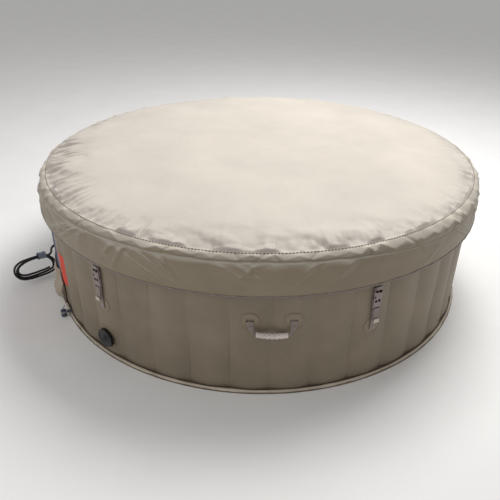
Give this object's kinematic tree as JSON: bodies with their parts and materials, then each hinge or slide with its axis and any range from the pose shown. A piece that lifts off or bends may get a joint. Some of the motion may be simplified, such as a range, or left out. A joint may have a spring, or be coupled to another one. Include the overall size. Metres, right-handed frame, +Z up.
{
  "type": "inflatable hot tub",
  "caption": "Round inflatable hot tub with ribbed soft walls, a buckled fabric cover over an air lid, carry handles, a drain valve and a built-in heater and air unit.",
  "frame": {"origin": "on the ground at the centre of the round tub", "axes": "+Z up; -Y is the side with the carry handle on a chamber seam; the equipment bay faces -X"},
  "size_m": [2.3116, 2.1438, 0.688],
  "materials": {
    "wall_pvc": "matt laminated wall sheet",
    "liner_pvc": "pale inner sheet",
    "floor_foam": "floor mat",
    "piping": "pale welded bead",
    "cover_fabric": "coated woven cover",
    "skirt_fabric": "coated woven skirt",
    "binding": "woven binding",
    "lid_vinyl": "inflated lid",
    "webbing": "woven webbing",
    "buckle_plastic": "moulded acetal",
    "grip_plastic": "soft moulded sleeve",
    "patch_vinyl": "welded patch",
    "black_rubber": "black moulded rubber",
    "black_plastic": "black moulded plastic",
    "pale_plastic": "pale moulded plastic",
    "unit_plastic": "blue-grey textured casing",
    "screw_steel": "zinc plated",
    "motor_metal": "painted motor can",
    "heater_steel": "stainless tube",
    "board": "laminate board",
    "display": "smoked lens",
    "flap_fabric": "soft coated flap",
    "cable_rubber": "black cable sheath",
    "tie_fabric": "ribbed tie",
    "filter_paper": "pleated filter medium"
  },
  "bodies": {
    "tub": {"outer_wall": "wall_pvc", "inner_wall": "liner_pvc", "top_rim": "wall_pvc", "base_sheet": "wall_pvc", "base_piping": "piping", "tub_floor": "floor_foam", "wall_webs": "liner_pvc", "bubble_duct": "liner_pvc", "drain_body": "pale_plastic", "air_valve_body": "pale_plastic", "anchor_patches": "patch_vinyl", "lower_straps": "webbing", "buckle_plugs": "buckle_plastic", "bay_liner": "liner_pvc", "unit_rear_shell": "unit_plastic", "unit_front_shell": "unit_plastic", "unit_screws": "screw_steel", "control_fascia": "unit_plastic", "display_lens": "display", "cable_gland": "black_plastic", "pump_motor": "motor_metal", "pump_volute": "black_plastic", "heater_tube": "heater_steel", "blower_motor": "motor_metal", "blower_housing": "black_plastic", "control_board": "board", "water_ports": "pale_plastic", "water_hoses": "black_rubber", "air_hose": "black_rubber", "bay_flap": "flap_fabric", "flap_toggle": "unit_plastic", "power_cable": "cable_rubber", "cable_tie": "tie_fabric", "filter_base": "pale_plastic"},
    "cover": {"cover_top": "cover_fabric", "cover_skirt": "skirt_fabric", "cover_piping": "binding", "cover_hem": "binding", "lid_bladder": "lid_vinyl", "upper_straps": "webbing", "buckle_sockets": "buckle_plastic"},
    "handle_1": {"handle_1_webbing": "webbing", "handle_1_grip": "grip_plastic"},
    "handle_2": {"handle_2_webbing": "webbing", "handle_2_grip": "grip_plastic"},
    "handle_3": {"handle_3_webbing": "webbing", "handle_3_grip": "grip_plastic"},
    "drain_gasket": {"drain_gasket": "black_rubber"},
    "drain_cap": {"drain_cap": "black_plastic"},
    "air_valve_cap": {"air_valve_cap": "pale_plastic"},
    "pump_impeller": {"pump_impeller": "black_plastic"},
    "blower_fan": {"blower_fan": "black_plastic"},
    "filter_cartridge": {"filter_cartridge": "filter_paper"},
    "filter_cap": {"filter_cap": "pale_plastic"},
    "nozzle_eyeball": {"nozzle_eyeball": "pale_plastic"},
    "button_heat": {"button_heat": "pale_plastic"},
    "button_filter": {"button_filter": "pale_plastic"},
    "button_bubble": {"button_bubble": "pale_plastic"},
    "button_up": {"button_up": "pale_plastic"},
    "button_down": {"button_down": "pale_plastic"}
  },
  "joints": [
    {"name": "cover_lift", "type": "slide", "parent": "tub", "child": "cover", "axis": [0, 0, 1], "range_m": [0, 0.4]},
    {"name": "handle_1_swing", "type": "hinge", "parent": "tub", "child": "handle_1", "pos_m": [0, -1.0475, 0.352], "axis": [-1, 0, 0], "range_deg": [0, 150]},
    {"name": "handle_2_swing", "type": "hinge", "parent": "tub", "child": "handle_2", "pos_m": [0.93333, 0.47556, 0.352], "axis": [0.454, -0.891, 0], "range_deg": [0, 150]},
    {"name": "handle_3_swing", "type": "hinge", "parent": "tub", "child": "handle_3", "pos_m": [-0.93333, 0.47556, 0.352], "axis": [0.454, 0.891, 0], "range_deg": [0, 150]},
    {"name": "drain_cap_travel", "type": "slide", "parent": "tub", "child": "drain_gasket", "axis": [-0.6494, -0.7604, 0], "range_m": [0, 0.0046]},
    {"name": "drain_cap_turn", "type": "hinge", "parent": "drain_gasket", "child": "drain_cap", "pos_m": [-0.68582, -0.80299, 0.096], "axis": [-0.6494, -0.7604, 0], "range_deg": [0, 540]},
    {"name": "air_valve_cap_flip", "type": "hinge", "parent": "tub", "child": "air_valve_cap", "pos_m": [0.0835, 1.06092, 0.1165], "axis": [0.9969, -0.0785, 0], "range_deg": [0, 110]},
    {"name": "pump_spin", "type": "hinge", "parent": "tub", "child": "pump_impeller", "pos_m": [-0.945, -0.076, 0.25], "axis": [0, -1, 0], "continuous": true},
    {"name": "blower_spin", "type": "hinge", "parent": "tub", "child": "blower_fan", "pos_m": [-0.945, 0.076, 0.385], "axis": [0, -1, 0], "continuous": true},
    {"name": "filter_pull", "type": "slide", "parent": "tub", "child": "filter_cartridge", "axis": [0.9888, 0.1495, 0], "range_m": [0, 0.075]},
    {"name": "filter_cap_twist", "type": "hinge", "parent": "filter_cartridge", "child": "filter_cap", "pos_m": [-0.72674, -0.10991, 0.17], "axis": [0.9888, 0.1495, 0], "range_deg": [0, 60]},
    {"name": "nozzle_swivel", "type": "hinge", "parent": "tub", "child": "nozzle_eyeball", "pos_m": [-0.77519, 0.11724, 0.17], "axis": [0, 0, 1], "range_deg": [-15, 15]},
    {"name": "button_heat_press", "type": "slide", "parent": "tub", "child": "button_heat", "axis": [0.9974, -0.0715, 0], "range_m": [0, 0.0018], "stiffness_N_per_m": 800},
    {"name": "button_filter_press", "type": "slide", "parent": "tub", "child": "button_filter", "axis": [0.9994, -0.0358, 0], "range_m": [0, 0.0018], "stiffness_N_per_m": 800},
    {"name": "button_bubble_press", "type": "slide", "parent": "tub", "child": "button_bubble", "axis": [1, 0, 0], "range_m": [0, 0.0018], "stiffness_N_per_m": 800},
    {"name": "button_up_press", "type": "slide", "parent": "tub", "child": "button_up", "axis": [0.9994, 0.0358, 0], "range_m": [0, 0.0018], "stiffness_N_per_m": 800},
    {"name": "button_down_press", "type": "slide", "parent": "tub", "child": "button_down", "axis": [0.9974, 0.0715, 0], "range_m": [0, 0.0018], "stiffness_N_per_m": 800}
  ],
  "couplings": [
    {"joint": "drain_cap_travel", "follows": "drain_cap_turn", "m_per_rad": 0.00047746}
  ]
}
